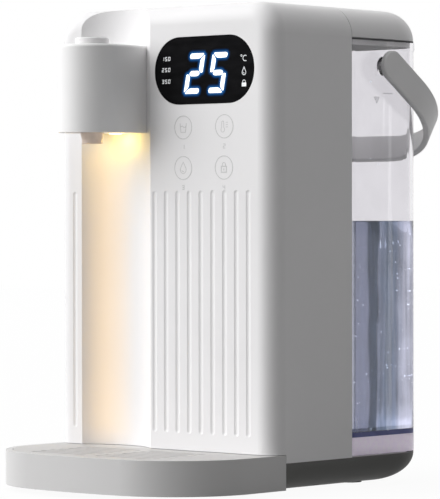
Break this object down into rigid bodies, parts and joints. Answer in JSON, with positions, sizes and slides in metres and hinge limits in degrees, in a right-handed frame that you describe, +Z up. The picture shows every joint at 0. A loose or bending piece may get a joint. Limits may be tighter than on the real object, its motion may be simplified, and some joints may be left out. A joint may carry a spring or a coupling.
{
  "type": "hot water dispenser",
  "caption": "Countertop hot water dispenser: crowned upright housing with a cup bay, round spout, digital display, slide-out drip tray and a lift-off clear tank with a carrying handle.",
  "frame": {"origin": "middle of the footprint, on the surface the dispenser stands on", "axes": "+Z up, -Y towards the cup bay and the user, +X to the user's right"},
  "size_m": [0.1912, 0.275, 0.3],
  "materials": {
    "white_shell": "satin",
    "inner_white": "satin",
    "dark_base": "satin",
    "black_lens": "gloss",
    "clear_tank": "clear",
    "smoke_skirt": "clear",
    "blue_gasket": "matte",
    "seal_rubber": "matte",
    "foot_rubber": "matte",
    "nozzle_plastic": "satin",
    "lamp_clear": "gloss",
    "valve_white": "satin",
    "board_green": "satin",
    "black_part": "satin",
    "relay_blue": "satin",
    "screw_steel": "plated",
    "heater_steel": "brushed",
    "probe_brass": "plain",
    "hose_silicone": "matte"
  },
  "bodies": {
    "base": {"back_plate": "inner_white", "back_screws": "screw_steel", "base_feet": "foot_rubber", "base_pan": "dark_base", "base_screws": "screw_steel", "board_screws": "screw_steel", "button_guide": "inner_white", "button_spring": "screw_steel", "button_switch": "black_part", "capacitor": "black_part", "control_board": "board_green", "deck_screws": "screw_steel", "display_lens": "black_lens", "display_module": "inner_white", "dock_deck": "dark_base", "dock_seal": "seal_rubber", "dock_socket": "dark_base", "feed_hose": "hose_silicone", "front_housing": "white_shell", "heater_brackets": "heater_steel", "heater_cap_lower": "black_part", "heater_cap_upper": "black_part", "heater_tube": "heater_steel", "hose_clips": "screw_steel", "inlet_hose": "hose_silicone", "lamp_board": "board_green", "lamp_lens": "lamp_clear", "mains_inlet": "black_part", "nozzle": "nozzle_plastic", "power_board": "board_green", "pump_body": "black_part", "pump_cover": "black_part", "pump_motor": "heater_steel", "pump_mount": "seal_rubber", "relay": "relay_blue", "spout_bottom": "white_shell", "spout_head": "white_shell", "spout_hose": "hose_silicone", "spout_screws": "screw_steel", "temperature_probe": "probe_brass", "thermal_cutout": "heater_steel", "touch_pads": "seal_rubber", "transformer": "black_part"},
    "tank": {"tank_skirt": "smoke_skirt", "tank_gasket": "blue_gasket", "tank_wall": "clear_tank", "handle_pins": "white_shell", "valve_body": "valve_white", "valve_nut": "valve_white", "valve_spring": "screw_steel"},
    "lid": {"tank_lid": "white_shell", "lid_base": "inner_white", "lid_seal": "seal_rubber"},
    "handle": {"tank_handle": "white_shell"},
    "valve": {"valve_plunger": "valve_white"},
    "button": {"button_cap": "white_shell"},
    "tray": {"drip_tray": "white_shell", "tray_feet": "foot_rubber"},
    "plate": {"drip_plate": "white_shell"},
    "impeller": {"impeller": "valve_white"}
  },
  "joints": [
    {"name": "tank_lift", "type": "slide", "parent": "base", "child": "tank", "axis": [0, 0, 1], "range_m": [0, 0.29]},
    {"name": "lid_lift", "type": "slide", "parent": "tank", "child": "lid", "axis": [0, 0, 1], "range_m": [0, 0.012]},
    {"name": "handle_swing", "type": "hinge", "parent": "tank", "child": "handle", "pos_m": [0, 0.05636, 0.2638], "axis": [1, 0, 0], "range_deg": [0, 123]},
    {"name": "valve_travel", "type": "slide", "parent": "tank", "child": "valve", "axis": [0, 0, 1], "range_m": [0, 0.002], "stiffness_N_per_m": 150, "springref_m": -0.003, "deforming": ["valve_spring"]},
    {"name": "button_press", "type": "slide", "parent": "base", "child": "button", "axis": [0, 0, -1], "range_m": [0, 0.003], "stiffness_N_per_m": 400, "springref_m": -0.002, "deforming": ["button_spring"]},
    {"name": "tray_pull", "type": "slide", "parent": "base", "child": "tray", "axis": [0, -1, 0], "range_m": [0, 0.12]},
    {"name": "plate_lift", "type": "slide", "parent": "tray", "child": "plate", "axis": [0, 0, 1], "range_m": [0, 0.05]},
    {"name": "impeller_spin", "type": "hinge", "parent": "base", "child": "impeller", "pos_m": [0.034, -0.01354, 0], "axis": [0, 0, 1], "continuous": true}
  ]
}
